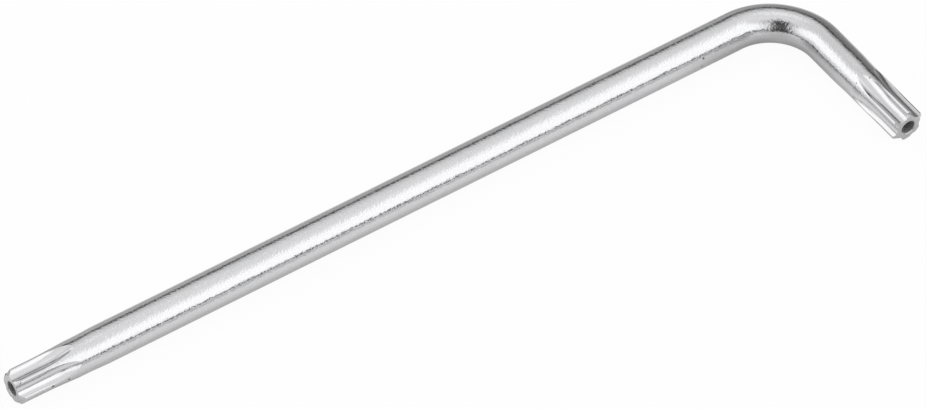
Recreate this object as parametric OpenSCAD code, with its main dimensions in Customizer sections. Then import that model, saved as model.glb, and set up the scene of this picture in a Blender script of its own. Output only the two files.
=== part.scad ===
// Star key: a round bar bent once, with a six-lobed star and a pin hole on each end.
// The key lies flat. The long arm runs along X with its star at -X. The short arm runs
// along Y from the bend at +X, with its star at -Y. The origin is under the middle of the box.

/* [Bar] */
// Diameter of the round bar
bar_d = 7; // [6.8:0.1:9]
// Long arm over all, from its star's end face to the outside of the bend
long_len = 166; // [120:1:240]
// Short arm over all, from its star's end face to the outside of the bend
short_len = 40; // [36:0.5:80]
// Radius of the bend at the middle of the bar
bend_r = 11.5; // [8:0.5:16]

/* [Star] */
// Across the tips of opposite lobes
star_d = 6.75; // [6:0.01:6.8]
// Across the roots of opposite flutes
root_d = 4.85; // [4.4:0.01:5.4]
// Radius of a flute's hollow
flute_r = 2.15; // [1.5:0.05:2.2]
// Length of a flute at its full depth
flute_len = 5.5; // [2:0.1:8]
// Radius of the wheel that lets a flute run out
wheel_r = 29; // [16:1:56]
// Round collar of the star's size, past the run-outs
collar_len = 0.5; // [0.3:0.1:3]
// Length over which the collar swells to the bar
swell_len = 5; // [1:0.5:8]
// Turn of the long arm's star, from a flute that faces straight up
long_turn = 2; // [-30:1:30]
// Turn of the short arm's star, from a flute that faces straight up
short_turn = -24; // [-30:1:30]

/* [End faces] */
// Length of the long arm's end chamfer, along the bar
long_chamfer = 0.9; // [0.3:0.05:1.2]
// Length of the short arm's end chamfer, along the bar
short_chamfer = 0.55; // [0.3:0.05:1.2]
// Depth of both end chamfers, across the bar
chamfer_w = 0.85; // [0.3:0.05:1.1]

/* [Pin hole] */
// Diameter of the hole that clears a screw's pin
pin_hole_d = 2.7; // [2:0.1:3.2]
// Depth of the hole's round wall
pin_hole_len = 6; // [3:0.5:10]
// Angle of the drill's point
drill_angle = 118; // [90:1:140]
// Break of the hole's sharp mouth
mouth_break = 0.15; // [0.05:0.05:0.3]

/* [Hidden] */
$fn = 200;
flute_count = 6;
overshoot = 1;

bar_r = bar_d / 2;
star_r = star_d / 2;
root_r = root_d / 2;
pin_hole_r = pin_hole_d / 2;
drill_point = pin_hole_r / tan(drill_angle / 2);

// A flute ends where the wheel's rim has climbed from the root to the tips of the lobes.
runout_angle = acos(1 - (star_r - root_r) / wheel_r);
runout_end = flute_len + wheel_r * sin(runout_angle);
swell_start = runout_end + collar_len;
tip_len = swell_start + swell_len;

// Where the bar's axis runs in the two arms, and the middle of the bend
axis_x = long_len / 2 - bar_r;
axis_y = short_len / 2 - bar_r;
axis_z = bar_r;
bend_x = axis_x - bend_r;
bend_y = axis_y - bend_r;
long_end = -long_len / 2;
short_end = -short_len / 2;

// The tip before its flutes are cut, standing on its end face: drilled, chamfered at the end,
// and turned down to the star's size, which swells to the bar's behind the run-outs.
module turned_tip(chamfer) {
    rotate_extrude()
        polygon([
            [0, pin_hole_len + drill_point],
            [pin_hole_r, pin_hole_len],
            [pin_hole_r, mouth_break],
            [pin_hole_r + mouth_break, 0],
            [star_r - chamfer_w, 0],
            [star_r, chamfer],
            [star_r, swell_start],
            [bar_r, tip_len],
            [0, tip_len],
        ]);
}

// What one flute takes away, on the +Y side: a straight hollow, then the sweep of the wheel.
module flute() {
    translate([0, root_r + flute_r, -overshoot])
        cylinder(r = flute_r, h = flute_len + overshoot);
    translate([0, root_r + wheel_r, flute_len])
        rotate([90, 0, -90])
            rotate_extrude(angle = 2 * runout_angle)
                translate([wheel_r - flute_r, 0])
                    circle(r = flute_r);
}

module star_tip(chamfer, turn) {
    difference() {
        turned_tip(chamfer);
        for (i = [0 : flute_count - 1])
            rotate([0, 0, turn + i * 360 / flute_count])
                flute();
    }
}

module long_star_tip() {
    color("gainsboro")
        translate([long_end, axis_y, axis_z])
            rotate([90, 0, 90])
                star_tip(long_chamfer, long_turn);
}

module long_arm() {
    color("silver")
        translate([long_end + tip_len, axis_y, axis_z])
            rotate([0, 90, 0])
                cylinder(r = bar_r, h = bend_x - long_end - tip_len);
}

module bend() {
    color("silver")
        translate([bend_x, bend_y, axis_z])
            rotate_extrude(angle = 90)
                translate([bend_r, 0])
                    circle(r = bar_r);
}

module short_arm() {
    color("silver")
        translate([axis_x, bend_y, axis_z])
            rotate([90, 0, 0])
                cylinder(r = bar_r, h = bend_y - short_end - tip_len);
}

module short_star_tip() {
    color("gainsboro")
        translate([axis_x, short_end, axis_z])
            rotate([90, 0, 180])
                star_tip(short_chamfer, short_turn);
}

long_star_tip();
long_arm();
bend();
short_arm();
short_star_tip();
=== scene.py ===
# %% [markdown]
# Dressing a star key
#
# The key is one round steel bar, bent once, with a six-lobed star and a pin hole on each end.
# The packed CAD model holds it as five sections of that bar. This lesson remakes each section as
# a fine surface, gives it a plated steel finish, and lays it on a table in a small white studio.
# Lengths are written in millimetres, as on a drawing, and the factor MM turns them into metres.

# %% Load the packed model
import math

import bpy
import numpy as np
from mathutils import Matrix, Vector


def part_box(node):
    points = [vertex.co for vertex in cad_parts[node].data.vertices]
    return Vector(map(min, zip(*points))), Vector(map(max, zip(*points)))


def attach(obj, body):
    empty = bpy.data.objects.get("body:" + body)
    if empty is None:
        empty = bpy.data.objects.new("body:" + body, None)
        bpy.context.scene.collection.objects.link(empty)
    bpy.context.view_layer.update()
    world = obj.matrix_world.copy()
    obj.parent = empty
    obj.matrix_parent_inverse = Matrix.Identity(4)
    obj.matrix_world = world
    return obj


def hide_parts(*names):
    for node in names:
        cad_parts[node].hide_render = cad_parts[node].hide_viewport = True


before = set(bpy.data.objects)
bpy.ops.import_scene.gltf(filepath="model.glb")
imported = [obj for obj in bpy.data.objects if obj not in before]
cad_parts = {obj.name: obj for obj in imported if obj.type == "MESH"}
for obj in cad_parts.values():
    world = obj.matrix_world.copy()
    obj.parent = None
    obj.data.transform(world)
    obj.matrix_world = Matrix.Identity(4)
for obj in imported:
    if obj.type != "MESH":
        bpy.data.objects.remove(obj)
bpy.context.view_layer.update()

# %% [markdown]
# Sizes
#
# The bar's sizes are those that the CAD model is built from. The bar lies flat: the long arm's
# axis runs along X, the short arm's along Y, and both are half a bar above the floor. Repeating
# the numbers here keeps every surface a plain formula. Only the length of a star tip is measured,
# on the model itself.

# %% Sizes of the key, in millimetres
MM = 0.001
BAR_R = 3.5
BEND_R = 11.5
LONG_END, SHORT_END = -83.0, -20.0
AXIS_X, AXIS_Y, AXIS_Z = 79.5, 16.5, 3.5
BEND_X, BEND_Y = AXIS_X - BEND_R, AXIS_Y - BEND_R
TIP_LEN = (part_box("long_star_tip")[1].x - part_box("long_star_tip")[0].x) / MM
print("star tips are", round(TIP_LEN, 3), "mm long")

# %% [markdown]
# The camera
#
# A photograph's viewpoint is two angles, a distance, a shift of the view and a lens. They were
# fitted so that the bar's outline falls where the photograph has it. The lens is long, so the
# two arms show hardly any perspective. The point that the camera is placed from is where the
# axes of the two arms cross.

# %% Place the camera
IMAGE_W = 926
SENSOR_W = 36.0
VIEW_ELEVATION = math.radians(47.0154)
VIEW_AZIMUTH = math.radians(-34.2422)
PIXELS_PER_BAR = 39.1630
BARS_PER_DISTANCE = 0.0057
SHIFT_RIGHT, SHIFT_UP = 8.2479, 5.0869
UP = np.array([0.0, 0.0, 1.0])


def direction(azimuth, elevation):
    """Unit vector: azimuth turns from -Y towards +X, elevation lifts it from the floor."""
    level = math.cos(elevation)
    return np.array([math.sin(azimuth) * level, -math.cos(azimuth) * level, math.sin(elevation)])


to_camera = direction(VIEW_AZIMUTH, VIEW_ELEVATION)
right = np.cross(UP, to_camera)
right /= np.linalg.norm(right)
upward = np.cross(to_camera, right)
crossing = np.array([AXIS_X, AXIS_Y, AXIS_Z])
eye = crossing + 2 * BAR_R * (to_camera / BARS_PER_DISTANCE
                              - SHIFT_RIGHT * right - SHIFT_UP * upward)
lens = bpy.data.cameras.new("camera")
lens.sensor_fit = "HORIZONTAL"
lens.sensor_width = SENSOR_W
lens.lens = PIXELS_PER_BAR / BARS_PER_DISTANCE * SENSOR_W / IMAGE_W
camera = bpy.data.objects.new("camera", lens)
bpy.context.scene.collection.objects.link(camera)
pose = np.eye(4)
pose[:3, :3] = np.stack([right, upward, to_camera], axis=1)
pose[:3, 3] = eye * MM
camera.matrix_world = pose.T.tolist()
bpy.context.scene.camera = camera
print("camera", round(np.linalg.norm(eye - crossing)), "mm away, lens", round(lens.lens), "mm")

# %% [markdown]
# From a grid of points to a closed skin
#
# Every section is a tube that closes at both ends, so one helper can build them all. A grid of
# points wraps round in its columns. Its first and last rows shrink to a single point, a pole.
# A cylinder primitive with a modifier would be quicker, but it could not carry the flutes.

# %% Helpers that turn a grid into a mesh
SHARP_ANGLE = math.radians(32)


def closed_skin(name, grid):
    """Mesh of a grid (rows, columns, xyz) in mm: quads between rows, fans at the two poles."""
    rows, columns = grid.shape[:2]
    points = np.concatenate([grid[:1, 0], grid[1:-1].reshape(-1, 3), grid[-1:, 0]]) * MM
    ring = 1 + np.arange((rows - 2) * columns).reshape(rows - 2, columns)
    beside = np.roll(ring, -1, axis=1)
    quads = np.stack([ring[:-1], ring[1:], beside[1:], beside[:-1]], axis=-1).reshape(-1, 4)
    first = np.stack([np.zeros(columns, int), ring[0], beside[0]], axis=-1)
    last = np.stack([np.full(columns, len(points) - 1), beside[-1], ring[-1]], axis=-1)
    mesh = bpy.data.meshes.new(name)
    mesh.from_pydata(points.tolist(), [], quads.tolist() + first.tolist() + last.tolist())
    mesh.shade_smooth()
    mesh.set_sharp_from_angle(angle=SHARP_ANGLE)
    piece = bpy.data.objects.new(name, mesh)
    bpy.context.scene.collection.objects.link(piece)
    print(name, "has", len(mesh.polygons), "faces")
    return piece


def round_grid(along, radius, turn, start, axis):
    """Points at start + along * axis + radius * spoke, where the spoke is cos turn * up
    + sin turn * side, and the side is up x axis."""
    side = np.cross(UP, axis)
    spoke = np.cos(turn)[..., None] * UP + np.sin(turn)[..., None] * side
    return start + along[..., None] * axis + radius[..., None] * spoke


print("edges of more than", round(math.degrees(SHARP_ANGLE)), "degrees stay sharp")

# %% [markdown]
# The two straight arms
#
# A drawn bar is as round as a lathe could make it, so a straight arm is one circle carried along
# a line. Rows every millimetre or two keep the faces from getting long and thin.

# %% Straight arms
AROUND = 144
ROW_STEP = 1.5
RIGHTWARD, BACKWARD = np.array([1.0, 0.0, 0.0]), np.array([0.0, 1.0, 0.0])


def straight_arm(name, start, axis, length):
    """Circle of the bar's radius carried along a line, closed by a flat end at each pole."""
    rows = int(round(length / ROW_STEP))
    along = np.concatenate([[0.0], np.linspace(0, length, rows), [length]])
    radius = np.concatenate([[0.0], np.full(rows, BAR_R), [0.0]])
    turn = np.linspace(0, 2 * np.pi, AROUND, endpoint=False)
    full = np.ones((len(along), AROUND))
    grid = round_grid(along[:, None] * full, radius[:, None] * full, turn * full, start, axis)
    return closed_skin(name, grid)


long_arm = straight_arm("key_long_arm", np.array([LONG_END + TIP_LEN, AXIS_Y, AXIS_Z]),
                        RIGHTWARD, BEND_X - LONG_END - TIP_LEN)
short_arm = straight_arm("key_short_arm", np.array([AXIS_X, SHORT_END + TIP_LEN, AXIS_Z]),
                         BACKWARD, BEND_Y - SHORT_END - TIP_LEN)

# %% [markdown]
# The bend
#
# The bar is bent cold round a former, so its middle line is a quarter of a circle. Carrying the
# same circle round that quarter gives a quarter of a torus. Many rows keep the mirror images of
# the studio smooth where the bend meets the arms.

# %% Bend
BEND_ROWS = 120


def quarter_bend(name):
    """Torus: middle + (bend radius + r sin v) * outward(u) + r cos v * up, where u falls from
    90 degrees to 0."""
    swing = np.concatenate([[np.pi / 2], np.linspace(np.pi / 2, 0, BEND_ROWS), [0.0]])
    radius = np.concatenate([[0.0], np.full(BEND_ROWS, BAR_R), [0.0]])
    turn = np.linspace(0, 2 * np.pi, AROUND, endpoint=False)
    outward = np.stack([np.cos(swing), np.sin(swing), 0 * swing], axis=-1)
    reach = BEND_R + radius[:, None] * np.sin(turn)
    lift = radius[:, None] * np.cos(turn)
    middle = np.array([BEND_X, BEND_Y, AXIS_Z])
    return closed_skin(name, middle + reach[..., None] * outward[:, None] + lift[..., None] * UP)


bend = quarter_bend("key_bend")

# %% [markdown]
# The star tips
#
# On the real key each star is pressed into the bar's end: six round-bottomed flutes between six
# rounded lobes. Further in, the flutes widen, their edges turn crisp, and they grow shallower as
# on the rim of a wheel until they run out. A short collar then swells to the full bar.
# The photograph suggests flutes a little tighter and deeper than the CAD model's, so the star
# has sizes of its own here. They depart from the model by less than a fifth of a millimetre.

# %% Sizes of a star tip, in millimetres
FLUTES = 6
SECTOR = 2 * np.pi / FLUTES
STAR_R, ROOT_R = 3.375, 2.30
FLUTE_R, RUNOUT_R = 1.50, 1.90
LOBE_R, EDGE_R = 0.42, 0.04
FORMED_LEN, WIDENED_LEN = 4.0, 9.5
FLUTE_LEN, COLLAR_LEN, SWELL_LEN = 5.5, 0.5, 5.0
SWELL_START = TIP_LEN - SWELL_LEN
RUNOUT_END = SWELL_START - COLLAR_LEN
FLUTE_DEEP = STAR_R - ROOT_R
WHEEL_R = ((RUNOUT_END - FLUTE_LEN) ** 2 + FLUTE_DEEP**2) / (2 * FLUTE_DEEP)
print("flutes run out", round(RUNOUT_END, 2), "mm from the end face")
print("the wheel that lifts their roots has a radius of", round(WHEEL_R, 1), "mm")

# %% [markdown]
# Across a star
#
# A cut from the middle of a flute to the middle of a lobe is three arcs that touch: the flute's
# hollow, the round of its edge, and the land, which keeps the full round. Booleans would leave a
# ragged mesh. Working the radius out by angle gives the whole star at once, for every distance
# from the end face.

# %% Profile of a star
def eased(share):
    """Smooth climb 3 s s - 2 s s s of a share that is held between 0 and 1."""
    share = np.clip(share, 0, 1)
    return share * share * (3 - 2 * share)


def turned_radius(z):
    """Radius before flutes and chamfer: the star's round, then an eased swell to the bar."""
    return STAR_R + (BAR_R - STAR_R) * eased((z - SWELL_START) / SWELL_LEN)


def between(z, first, second):
    """Eases from a first value, held over the formed length, to a second one in the run-outs."""
    return first + (second - first) * eased((z - FORMED_LEN) / (WIDENED_LEN - FORMED_LEN))


def flute_round(z):
    """Radius of the flute's round and its middle's distance from the axis. The root stays level
    at first and is then lifted as on the rim of a wheel."""
    past = np.maximum(z - FLUTE_LEN, 0)
    hollow = between(z, FLUTE_R, RUNOUT_R)
    return hollow, ROOT_R + hollow + WHEEL_R - np.sqrt(WHEEL_R**2 - past**2)


def star_radius(z, phi, outer):
    """Radius at an angle from a flute's middle: the flute's round, the round of its edge, then
    the land. The edge's round touches the other two, so its middle follows from the law of
    cosines."""
    edge = between(z, LOBE_R, EDGE_R)
    (hollow, centre), inner = flute_round(z), outer - edge
    cosine = (inner**2 + centre**2 - (hollow + edge) ** 2) / (2 * inner * centre)
    top = np.arccos(np.clip(cosine, -1, 1))
    part = hollow / (hollow + edge)
    meet = np.arctan2(inner * np.sin(top) * part, centre + (inner * np.cos(top) - centre) * part)
    valley = centre * np.cos(phi) - np.sqrt(np.maximum(hollow**2 - (centre * np.sin(phi)) ** 2, 0))
    tilt = phi - top
    crest = inner * np.cos(tilt) + np.sqrt(np.maximum(edge**2 - (inner * np.sin(tilt)) ** 2, 0))
    return np.where(phi < meet, valley, np.where(phi < top, crest, outer))


lobe, root = star_radius(FORMED_LEN, np.array([SECTOR / 2, 0.0]), STAR_R)
print(f"a star is {2 * lobe:.2f} mm over its lobes and {2 * root:.2f} mm over its roots")

# %% [markdown]
# Columns that follow the flutes
#
# The edges of a flute draw together as it runs out. If the columns of the grid slide with them,
# every edge lies on a line of the grid and stays clean. Columns crowd towards the edges, where
# the surface turns fastest.

# %% Columns of a star tip
FLUTE_COLUMNS, LAND_COLUMNS = 40, 20
NARROWEST_FLUTE = math.radians(2.5)


def flute_half_angle(z, outer):
    """Angle from a flute's middle to its edge, by the law of cosines on the two radii."""
    hollow, centre = flute_round(z)
    cosine = (outer**2 + centre**2 - hollow**2) / (2 * outer * centre)
    return np.maximum(np.arccos(np.clip(cosine, -1, 1)), NARROWEST_FLUTE)


def star_columns(z, outer):
    """Angle of each column at each z: the flute's share spread over its width, the land's over
    the rest. Also gives each column's angle from the middle of the nearest flute."""
    half = flute_half_angle(z, outer)[:, None]
    across = np.sin(np.linspace(-np.pi / 2, np.pi / 2, FLUTE_COLUMNS))
    beyond = 0.5 - 0.5 * np.cos(np.linspace(0, np.pi, LAND_COLUMNS + 2)[1:-1])
    phi = np.concatenate([half * across, half + (SECTOR - 2 * half) * beyond], axis=1)
    turns = np.arange(FLUTES) * SECTOR
    wrapped = np.where(phi > SECTOR / 2, phi - SECTOR, phi)
    return (phi[:, None] + turns[:, None]).reshape(len(z), -1), np.tile(wrapped, FLUTES)


print("a star tip has", FLUTES * (FLUTE_COLUMNS + LAND_COLUMNS), "columns")

# %% [markdown]
# Rows along the outside
#
# A chamfer leads the star into the screw. It could be cut off afterwards, but here it is a cone:
# each point takes the smaller of the cone's radius and the star's, and the edge between them is
# a little rounded. Each point also keeps how far the press has polished it, for the finish.

# %% Rows outside a star tip
CHAMFER_W, CHAMFER_ROUND = 0.85, 0.03
CHAMFER_REACH = 1.6
CHAMFER_ROWS, FLUTE_ROWS, RUNOUT_ROWS, SWELL_ROWS = 22, 8, 60, 24
POLISHED_DEEP = 0.15


def soft_min(a, b, blend):
    """The smaller of two lengths, with the corner between them rounded over a blend length."""
    mix = np.clip(0.5 + 0.5 * (b - a) / blend, 0, 1)
    return b + (a - b) * mix - blend * mix * (1 - mix)


def outside_rows(chamfer, sooner):
    """Distance of each row from the end face, angle and radius of its points, and their polish:
    full in the formed star and wherever a flute is deep. The flutes end sooner by a length."""
    fine_end = CHAMFER_REACH * chamfer
    z = np.concatenate([np.linspace(0, fine_end, CHAMFER_ROWS, endpoint=False),
                        np.linspace(fine_end, FLUTE_LEN, FLUTE_ROWS, endpoint=False),
                        np.linspace(FLUTE_LEN, SWELL_START, RUNOUT_ROWS, endpoint=False),
                        np.linspace(SWELL_START, TIP_LEN, SWELL_ROWS)])
    outer = turned_radius(z)
    turn, phi = star_columns(z + sooner, outer)
    z_column, outer = z[:, None], outer[:, None]
    wall = star_radius(z_column + sooner, np.abs(phi), outer)
    cone = STAR_R - CHAMFER_W * (1 - z_column / chamfer)
    wall = np.where(z_column < 2 * chamfer, soft_min(cone, wall, CHAMFER_ROUND), wall)
    deep = np.clip((outer - wall) / POLISHED_DEEP, 0, 1)
    return z, turn, wall, np.maximum(deep, between(z_column, 1.0, 0.0))


print("a star tip has", CHAMFER_ROWS + FLUTE_ROWS + RUNOUT_ROWS + SWELL_ROWS, "rows outside")

# %% [markdown]
# From the drill's point to the bar
#
# A drilled hole takes the screw's pin. It could be a piece of its own, but one closed skin is
# better: the rows run from the drill's point, up the hole, across the end face, over the chamfer
# and along the star. Each point keeps whether it lies in the hole, for the finish. The two stars
# differ in chamfer and turn, and on the long arm the flutes end a little sooner.

# %% Star tips
HOLE_R, HOLE_LEN, HOLE_POINT, MOUTH_BREAK = 1.35, 6.0, 0.811, 0.15
MOUTH_R = HOLE_R + MOUTH_BREAK
HOLE_DEPTHS = np.array([HOLE_LEN + HOLE_POINT, HOLE_LEN, 3.0, 1.0, 0.2, MOUTH_BREAK, 0.0])
HOLE_RADII = np.array([0.0, HOLE_R, HOLE_R, HOLE_R, HOLE_R, HOLE_R, MOUTH_R])
FACE_SHARES = np.array([0.2, 0.45, 0.7, 0.9])
LONG_CHAMFER, SHORT_CHAMFER = 0.9, 0.55
LONG_TURN, SHORT_TURN = math.radians(2), math.radians(-24)
LONG_SOONER, SHORT_SOONER = 0.6, 0.0


def star_tip(name, start, axis, chamfer, star_turn, sooner):
    """Rows: drill's point, hole, mouth, end face, star with its flutes, flat end. The face's rows
    share out the way from the mouth to the rim, and the columns follow the flutes."""
    z, turn, wall, pressed = outside_rows(chamfer, sooner)
    rim = wall[0]
    face = MOUTH_R + (rim - MOUTH_R) * FACE_SHARES[:, None]
    inside = len(HOLE_DEPTHS) + len(face)
    radius = np.concatenate([HOLE_RADII[:, None] + 0 * rim, face, wall, 0 * rim[None]])
    along = np.concatenate([HOLE_DEPTHS, np.zeros(len(face)), z, z[-1:]])[:, None] + 0 * radius
    turns = np.concatenate([np.tile(turn[0], (inside, 1)), turn, turn[-1:]])
    piece = closed_skin(name, round_grid(along, radius, turns - star_turn, start, axis))
    in_hole = np.arange(len(radius))[:, None] < len(HOLE_DEPTHS) - 1
    marks = {"pressed": np.concatenate([0 * radius[:inside], pressed, 0 * rim[None]]),
             "hole": in_hole + 0 * radius}
    for mark, values in marks.items():
        kept = np.concatenate([values[:1, 0], values[1:-1].ravel(), values[-1:, 0]])
        layer = piece.data.attributes.new(mark, "FLOAT", "POINT")
        layer.data.foreach_set("value", kept.astype(np.float32))
    return piece


long_tip = star_tip("key_long_star", np.array([LONG_END, AXIS_Y, AXIS_Z]), RIGHTWARD,
                    LONG_CHAMFER, LONG_TURN, LONG_SOONER)
short_tip = star_tip("key_short_star", np.array([AXIS_X, SHORT_END, AXIS_Z]), BACKWARD,
                     SHORT_CHAMFER, SHORT_TURN, SHORT_SOONER)

# %% [markdown]
# Writing shader maths as maths
#
# A material is a web of nodes. Wrapping a socket in a small class lets a sum of nodes be written
# as a sum: each operator adds one Math node. One method adds every other kind of node.

# %% A wire that can be reckoned with
class Wire:
    """An output socket that can be added, subtracted, multiplied, divided and raised to a power."""

    def __init__(self, tree, socket=None):
        self.tree, self.socket = tree, socket

    def node(self, kind, settings=(), sockets=(), output=0):
        """Adds a node: settings first, then its sockets' values or links. Returns one output."""
        made = self.tree.nodes.new(kind)
        for name, value in dict(settings).items():
            if name == "stops":
                elements = made.color_ramp.elements
                while len(elements) < len(value):
                    elements.new(0.5)
                for stop, (place, shade) in zip(elements, value):
                    stop.position, stop.color = place, (shade, shade, shade, 1)
            else:
                setattr(made, name, value)
        for name, value in dict(sockets).items():
            if isinstance(value, Wire):
                self.tree.links.new(value.socket, made.inputs[name])
            else:
                made.inputs[name].default_value = value
        return Wire(self.tree, made.outputs[output] if made.outputs else None)

    def pick(self, output):
        """Another output of the same node."""
        return Wire(self.tree, self.socket.node.outputs[output])

    def reckon(self, operation, *values):
        """One Math node on wires or numbers."""
        return self.node("ShaderNodeMath", {"operation": operation}, dict(enumerate(values)))

    def step(self, low, high):
        """0 below low, 1 above high, and a smooth climb between."""
        return self.node("ShaderNodeMapRange", {"interpolation_type": "SMOOTHSTEP"},
                         {"Value": self, "From Min": low, "From Max": high})

    def at_least(self, other):
        """The larger of this and another value."""
        return self.reckon("MAXIMUM", self, other)

    def at_most(self, other):
        """The smaller of this and another value."""
        return self.reckon("MINIMUM", self, other)

    def unsigned(self):
        """This value without its sign."""
        return self.reckon("ABSOLUTE", self)

    def __add__(self, other):
        return self.reckon("ADD", self, other)

    def __sub__(self, other):
        return self.reckon("SUBTRACT", self, other)

    def __rsub__(self, other):
        return self.reckon("SUBTRACT", other, self)

    def __mul__(self, other):
        return self.reckon("MULTIPLY", self, other)

    def __truediv__(self, other):
        return self.reckon("DIVIDE", self, other)

    def __pow__(self, other):
        return self.reckon("POWER", self, other)

    __radd__, __rmul__ = __add__, __mul__


def new_tree(owner):
    """An empty node tree on a material or a world."""
    owner.use_nodes = True
    owner.node_tree.nodes.clear()
    return Wire(owner.node_tree)


print("a wire knows", len([name for name in vars(Wire) if not name.startswith("__")]), "methods")

# %% [markdown]
# Noise, spots and metal
#
# Both finishes of the key need the same few things: noise of a given size, a colour between two
# others, a soft spot round a place, and a metal with a bump. All of them read Object coordinates,
# which stay on the piece from every side.

# %% Helpers for the finishes
NOISE_DETAIL = 1.0
PIT_FLOOR = 0.4


def noise(web, place, size):
    """Noise between 0 and 1 with features of about that size in metres."""
    return web.node("ShaderNodeTexNoise", {"noise_dimensions": "3D"},
                    {"Vector": place, "Scale": 1 / size, "Detail": NOISE_DETAIL}, "Fac")


def blend_colour(web, share, first, second):
    """Colour between two others. A Mix node has its colours at inputs 6 and 7 and output 2."""
    return web.node("ShaderNodeMix", {"data_type": "RGBA"}, {0: share, 6: first, 7: second}, 2)


def nearness(web, place, spot, full, none):
    """1 within a full distance of a spot, 0 beyond another distance, all in mm."""
    away = web.node("ShaderNodeVectorMath", {"operation": "DISTANCE"},
                    {0: place, 1: [length * MM for length in spot]}, "Value")
    return 1 - away.step(full * MM, none * MM)


def pitted(web, place, pits):
    """1 on the floor of each pit, given as x, y, z and radius in mm."""
    return sum(nearness(web, place, pit[:3], PIT_FLOOR * pit[3], pit[3]) for pit in pits)


def finish_metal(web, tone, metallic, shine, height):
    """Closes a metal: colour, metallic share, roughness and a bump whose height is in metres."""
    bump = web.node("ShaderNodeBump", {}, {"Distance": 1.0, "Height": height})
    metal = web.node("ShaderNodeBsdfPrincipled", {}, {"Base Color": tone, "Metallic": metallic,
                                                       "Roughness": shine, "Normal": bump})
    web.node("ShaderNodeOutputMaterial", {}, {"Surface": metal})


print("a pit is level over", PIT_FLOOR, "of its radius")

# %% [markdown]
# The plated steel
#
# The bar is steel with a thin bright plating over a lightly blasted surface. Up close it is a
# mirror with a fine grain, so the edges of what it mirrors come out ragged. A bump from three
# sizes of noise makes that: the grain, shallow dimples, and slow waves left by drawing the bar.
# A finer tooth goes into colour and roughness, to show in even light. Bending squeezes the inside
# of the bend, and there the surface is crinkled too. Two small pits finish it.

# %% Finish of the shank
GRAIN_SIZE, GRAIN_DEEP = 0.36 * MM, 0.030 * MM
DIMPLE_SIZE, DIMPLE_DEEP = 0.9 * MM, 0.014 * MM
WAVE_SIZE, WAVE_DEEP = 3.5 * MM, 0.040 * MM
CRINKLE_SIZE, CRINKLE_DEEP = 0.40 * MM, 0.030 * MM
SQUEEZED, SQUEEZED_FULL, SQUEEZED_NONE = (74.2, 11.3, 5.8), 2, 5
TOOTH_SIZE, TOOTH_DARK, TOOTH_LIGHT = 0.30 * MM, 0.3, 0.7
PLATE_LIGHT, PLATE_DARK = (0.685, 0.685, 0.695, 1), (0.635, 0.635, 0.645, 1)
PLATE_ROUGH, TOOTH_ROUGH = 0.08, 0.06
PIT_COLOUR, PIT_DEEP = (0.10, 0.10, 0.10, 1), 0.12 * MM
SHANK_PITS = ((58.95, 13.17, 4.58, 0.26), (58.6, 13.05, 2.9, 0.20))


def plate_colour(web, speckle):
    """The plating's two greys, shared out by a speckle."""
    return blend_colour(web, speckle.step(TOOTH_DARK, TOOTH_LIGHT), PLATE_DARK, PLATE_LIGHT)


def shank_plating(name):
    """Metal whose bump sums grain, dimples, waves and crinkles, less the pits."""
    material = bpy.data.materials.new(name)
    web = new_tree(material)
    place = web.node("ShaderNodeTexCoord", output="Object")
    grain, tooth = noise(web, place, GRAIN_SIZE), noise(web, place, TOOTH_SIZE)
    dimple, wave = noise(web, place, DIMPLE_SIZE), noise(web, place, WAVE_SIZE)
    squeezed = nearness(web, place, SQUEEZED, SQUEEZED_FULL, SQUEEZED_NONE)
    crinkle = noise(web, place, CRINKLE_SIZE) * squeezed
    pit = pitted(web, place, SHANK_PITS)
    tone = blend_colour(web, pit, plate_colour(web, tooth), PIT_COLOUR)
    height = grain * GRAIN_DEEP + dimple * DIMPLE_DEEP + wave * WAVE_DEEP
    height = height + crinkle * CRINKLE_DEEP - pit * PIT_DEEP
    finish_metal(web, tone, 1.0, PLATE_ROUGH + TOOTH_ROUGH * tooth, height)
    return material


shank_finish = shank_plating("shank_plating")
for piece in (long_arm, short_arm, bend):
    piece.data.materials.append(shank_finish)
print("the shank's finish has", len(shank_finish.node_tree.nodes), "nodes")

# %% [markdown]
# The stars
#
# The press that forms a star also polishes it: lobes and flutes have hardly any grain and carry
# fine lines along their length. Where it has polished is known from the mesh, where each point
# has kept that mark. The lines are noise stretched along the arm. In the pin hole the plating is
# thin, so the steel there is dull, and its colour is darkened further as painted shade inside the
# hole. Each star has two small pits.

# %% Finish of the stars
LINE_SIZE, LINE_DEEP = 0.42 * MM, 0.040 * MM
STRETCH = 0.02
POLISH, PRESSED_ROUGH = 0.8, 0.05
# The hole's colour is dull steel darkened further by painted shade inside the hole
HOLE_STEEL_AND_SHADE, HOLE_DULL, HOLE_ROUGH = (0.30, 0.30, 0.30, 1), 0.8, 0.5
LONG_PITS = ((-76.8, 13.16, 3.3, 0.34), (-73.6, 13.14, 3.1, 0.26))
SHORT_PITS = ((78.99, -8.96, 6.9, 0.26), (76.91, -7.86, 5.85, 0.2))


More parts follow.
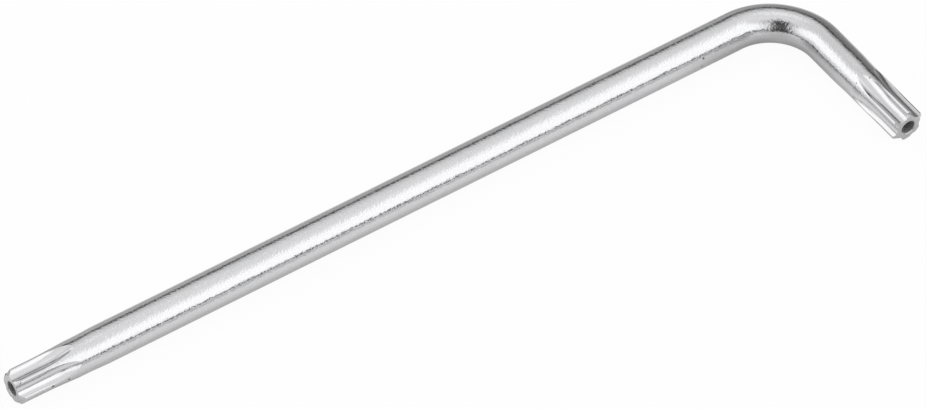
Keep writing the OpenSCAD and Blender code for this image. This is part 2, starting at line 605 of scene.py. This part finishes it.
def star_plating(name, stretch, pits):
    """Metal whose bump has the shank's grain where the press hasn't polished, stretched lines
    where it has, dimples all over, and a few pits. The hole is dull steel, darkened further by
    painted shade in its colour."""
    material = bpy.data.materials.new(name)
    web = new_tree(material)
    place = web.node("ShaderNodeTexCoord", output="Object")
    pressed = web.node("ShaderNodeAttribute", {"attribute_name": "pressed"}, output="Fac")
    hole = web.node("ShaderNodeAttribute", {"attribute_name": "hole"}, output="Fac")
    grain, tooth = noise(web, place, GRAIN_SIZE), noise(web, place, TOOTH_SIZE)
    drawn = web.node("ShaderNodeMapping", {}, {"Vector": place, "Scale": stretch})
    line = noise(web, drawn, LINE_SIZE)
    dimple, pit = noise(web, place, DIMPLE_SIZE), pitted(web, place, pits)
    rough = 1 - pressed * POLISH
    plate = plate_colour(web, tooth * rough + line * (1 - rough))
    # In the hole the colour is the dull steel with its painted shade
    tone = blend_colour(web, pit, blend_colour(web, hole, plate, HOLE_STEEL_AND_SHADE), PIT_COLOUR)
    height = grain * rough * GRAIN_DEEP + dimple * DIMPLE_DEEP
    height = height + line * pressed * LINE_DEEP - pit * PIT_DEEP
    shine = PLATE_ROUGH + TOOTH_ROUGH * tooth + PRESSED_ROUGH * pressed + HOLE_ROUGH * hole
    finish_metal(web, tone, 1 - HOLE_DULL * hole, shine, height)
    print(name, "has", len(material.node_tree.nodes), "nodes")
    return material


long_tip.data.materials.append(star_plating("long_star_plating", (STRETCH, 1, 1), LONG_PITS))
short_tip.data.materials.append(star_plating("short_star_plating", (1, STRETCH, 1), SHORT_PITS))

# %% [markdown]
# The floor
#
# The key lies on a white table. To the camera the table glows almost white, and the rest of its
# brightness is lit, so the key's soft shadow stays. One large square is enough for it.

# %% Table top
FLOOR_SIZE = 6000 * MM
WHITE, TABLE_WHITE = (1, 1, 1, 1), (0.88, 0.88, 0.88, 1)
GLOW_TO_CAMERA, GLOW_IN_MIRROR, GLOW_THROUGH = 0.95, 0.42, 0.93


def blend_shader(web, share, first, second):
    """Shader between two others."""
    return web.node("ShaderNodeMixShader", {}, {0: share, 1: first, 2: second})


half = FLOOR_SIZE / 2
table = bpy.data.meshes.new("floor")
table.from_pydata([(-half, -half, 0), (half, -half, 0), (half, half, 0), (-half, half, 0)],
                  [], [(0, 1, 2, 3)])
floor = bpy.data.objects.new("floor", table)
bpy.context.scene.collection.objects.link(floor)
white_table = bpy.data.materials.new("white_table")
table_web = new_tree(white_table)
ray = table_web.node("ShaderNodeLightPath", output="Is Camera Ray")
glossy, through = ray.pick("Is Glossy Ray"), ray.pick("Is Transmission Ray")
seen = ray * GLOW_TO_CAMERA + glossy * GLOW_IN_MIRROR + through * GLOW_THROUGH
lit = table_web.node("ShaderNodeBsdfDiffuse", {}, {"Color": TABLE_WHITE})
glow = table_web.node("ShaderNodeEmission", {}, {"Color": WHITE, "Strength": 1.0})
table_top = blend_shader(table_web, seen, lit, glow)
print("the table is", FLOOR_SIZE, "m square")

# %% [markdown]
# The table in the mirror of the steel
#
# The underside of the bar mirrors the table, and there the table carries painted shade, seen only
# in mirror images: a painted contact shadow close to the bar, and painted shade in the corner
# inside the bend, beyond the key and far in front of it. This painted shade goes by place on the
# table. At a grazing angle a table top is also a mirror itself, and shows the foot of the studio's
# walls. A glossy shader with a Fresnel share gives that.

# %% Shade and polish of the table
CLOSE_FULL, CLOSE_NONE = 2.5 * MM, 8.5 * MM
BEYOND_NEAR, BEYOND_FAR = 5 * MM, 30 * MM
BEFORE_NEAR, BEFORE_FAR = 15 * MM, 120 * MM
CORNER_SPOT, CORNER_FULL, CORNER_NONE = (69.0, 7.0, 0.0), 3, 15
# How strong each painted shade is, and the dim glow that the painted shade blends the table towards
BEYOND_SHADE, BEFORE_SHADE, CORNER_SHADE, CONTACT_SHADOW = 0.5, 0.3, 0.27, 0.28
PAINTED_SHADE_GLOW = 0.1
POLISH_ROUGH, POLISH_IOR, POLISH_SHARE = 0.12, 1.5, 0.7
place = table_web.node("ShaderNodeTexCoord", output="Object")
spot = table_web.node("ShaderNodeSeparateXYZ", {}, {"Vector": place})
past_long, past_short = spot.pick("Y") - AXIS_Y * MM, spot.pick("X") - AXIS_X * MM
beyond = past_long.at_least(past_short).step(BEYOND_NEAR, BEYOND_FAR)
before = (0 - past_long).step(BEFORE_NEAR, BEFORE_FAR)
in_corner = nearness(table_web, place, CORNER_SPOT, CORNER_FULL, CORNER_NONE) * (1 - beyond)
from_bar = past_long.unsigned().at_most(past_short.unsigned())
close = 1 - from_bar.step(CLOSE_FULL, CLOSE_NONE)
# Painted shade in mirror images only: a painted contact shadow close to the bar, and painted shade
# in the corner inside the bend, beyond the key and far in front of it
painted_shade_share = glossy * (BEYOND_SHADE * beyond + BEFORE_SHADE * before
                   + CORNER_SHADE * in_corner + CONTACT_SHADOW * close)
# The painted shade is a dim white glow
painted_shade_glow = table_web.node("ShaderNodeEmission", {}, {"Color": WHITE, "Strength": PAINTED_SHADE_GLOW})
shaded_top = blend_shader(table_web, painted_shade_share, table_top, painted_shade_glow)
polish = table_web.node("ShaderNodeBsdfGlossy", {}, {"Color": WHITE, "Roughness": POLISH_ROUGH})
sheen = table_web.node("ShaderNodeFresnel", {}, {"IOR": POLISH_IOR}) * glossy * POLISH_SHARE
polished_top = blend_shader(table_web, sheen, shaded_top, polish)
table_web.node("ShaderNodeOutputMaterial", {}, {"Surface": polished_top})
table.materials.append(white_table)
print("the table's finish has", len(white_table.node_tree.nodes), "nodes")

# %% [markdown]
# The studio
#
# A shiny bar shows little of its own colour. What the eye reads is the room in it: white walls,
# a duller roof, a dark gap along the foot of the walls, a darker corner behind, and the dark
# opening that the picture is taken through. The room is far away compared with the key, so it
# can be painted on the world by direction alone.

# %% Directions in the studio
# A little over one, so that the level reach is never 0, not even straight up
LEVEL_FROM = 1.0001
studio = bpy.data.worlds.new("studio")
bpy.context.scene.world = studio
studio_web = new_tree(studio)
heading = studio_web.node("ShaderNodeTexCoord", output="Generated")
way = studio_web.node("ShaderNodeSeparateXYZ", {}, {"Vector": heading})
x, y, z = way.pick("X"), way.pick("Y"), way.pick("Z")
level = (LEVEL_FROM - z * z) ** 0.5


def towards(azimuth_degrees):
    """How far a direction reaches along an azimuth: x sin a - y cos a."""
    azimuth = math.radians(azimuth_degrees)
    return x * math.sin(azimuth) - y * math.cos(azimuth)


def height_of(degrees):
    """Height on a unit sphere of an elevation: its sine."""
    return math.sin(math.radians(degrees))


print("the picture is taken from a height of", round(to_camera[2], 3), "on the unit sphere")

# %% [markdown]
# Walls, roof and gap
#
# The roof fades towards the back and has one brighter patch. The walls are lit from a low edge up
# to a line that dips towards the opening and towards the back. The gap along their foot is dark,
# and it tilts up towards the front. Each of these is one smooth step between two directions.

# %% Walls and roof
WALL, ROOF, GAP = 1.46, 1.03, 0.16
ROOF_FADE, ROOF_FADE_AZIMUTH = 0.27, 175
PATCH_AZIMUTH, PATCH_ELEVATION, PATCH_MORE = 152, math.radians(73), 0.22
PATCH_EDGE, PATCH_FULL = 0.972, 0.994
WALL_FOOT, WALL_LIT = height_of(9), height_of(21)
WALL_TOP, ROOF_START = 0.79, 0.90
FRONT_DIP, FRONT_AZIMUTH, FRONT_LEAST = 0.27, -50, -0.1
BACK_DIP, BACK_AZIMUTH = 0.25, 165
GAP_TILT, GAP_AZIMUTH = 0.08, 30
GAP_LOW, GAP_HIGH = (-0.03, 0.0), (0.07, 0.15)
patch = towards(PATCH_AZIMUTH) * math.cos(PATCH_ELEVATION) + z * math.sin(PATCH_ELEVATION)
fade = ROOF_FADE * towards(ROOF_FADE_AZIMUTH).at_least(0.0)
roof = ROOF - fade + PATCH_MORE * patch.step(PATCH_EDGE, PATCH_FULL)
lean = (z + FRONT_DIP * towards(FRONT_AZIMUTH).at_least(FRONT_LEAST)
        + BACK_DIP * towards(BACK_AZIMUTH).at_least(0.0))
lit_wall = z.step(WALL_FOOT, WALL_LIT) * (1 - lean.step(WALL_TOP, ROOF_START))
walls = roof + (WALL - roof) * lit_wall
skirt = z - GAP_TILT * towards(GAP_AZIMUTH)
gap = skirt.step(*GAP_LOW) * (1 - skirt.step(*GAP_HIGH))
walls = walls + (GAP - walls) * gap
print("walls have a brightness of", WALL, "the roof", ROOF, "and the gap", GAP)

# %% [markdown]
# The corner behind and the opening
#
# Behind the key stands a darker corner, with its darkest band half way up. It gives the bar its
# dark upper line. Opposite, the picture is taken through an opening that swallows light, darkest
# in its middle. It makes the dark patch on the bend. Both go through several shades, and a colour
# ramp with a stop for each is the shortest way to write that.

# %% Corner, opening and light
CORNER_AZIMUTH, CORNER_LEAST, CORNER_TOP = 115, 0.05, 2.5
CORNER_STOPS = [(0, 0.33), (0.42, 0.30), (0.56, 0.10), (0.74, 0.10), (0.84, 0.46),
                (1.0, 0.62), (1.15, 0.75), (1.35, 0.86), (1.7, 0.94), (2.4, 0.97)]
LOW_EDGE, LOW_END, LOW_LIGHT = 0.42, 0.58, 0.95
BEHIND_AZIMUTH, BEHIND_EDGE, BEHIND_FULL = 135, 0.5, 0.8
BEHIND_FADE, BEHIND_TOP = 1.4, 2.4
OPENING_AZIMUTH, OPENING_LOW, OPENING_HIGH = -53, height_of(57), height_of(74)
OPENING_STOPS = [(0.5, 0.0), (0.64, 0.05), (0.766, 0.13), (0.843, 0.25), (0.887, 0.34),
                 (0.924, 0.47), (0.954, 0.73), (0.974, 0.83), (0.99, 0.92)]


def ramp(value, top, stops):
    """Brightness by a value between 0 and top, from stops of (value, brightness up to 1)."""
    places = [(stop / top, shade) for stop, shade in stops]
    return studio_web.node("ShaderNodeValToRGB", {"stops": places}, {"Fac": value / top})


facing = towards(CORNER_AZIMUTH).at_least(CORNER_LEAST)
rise = z / facing
dark_corner = ramp(rise, CORNER_TOP, CORNER_STOPS)
dark_corner = dark_corner + (1 - rise.step(LOW_EDGE, LOW_END)) * (LOW_LIGHT - facing / level)
behind = (towards(BEHIND_AZIMUTH) / level).step(BEHIND_EDGE, BEHIND_FULL)
behind = behind * (1 - rise.step(BEHIND_FADE, BEHIND_TOP))
room = walls + (dark_corner - walls) * behind
opening = ramp(towards(OPENING_AZIMUTH) / level, 1.0, OPENING_STOPS)
room = room * (1 - opening * (1 - z.step(OPENING_LOW, OPENING_HIGH)))
light = studio_web.node("ShaderNodeBackground", {}, {"Color": WHITE, "Strength": room})
studio_web.node("ShaderNodeOutputWorld", {}, {"Surface": light})
bpy.context.scene.view_settings.view_transform = "Standard"
print("the studio has", len(studio.node_tree.nodes), "nodes")

# %% [markdown]
# Handing over
#
# Each surface stands for its CAD section, whose part it hides, and rides on the key's one body.

# %% Tie the pieces to the CAD model
for piece, node, slot in ((long_tip, "long_star_tip", "star"), (long_arm, "long_arm", "shank"),
                          (bend, "bend", "shank"), (short_arm, "short_arm", "shank"),
                          (short_tip, "short_star_tip", "star")):
    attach(piece, "root")
    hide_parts(node)
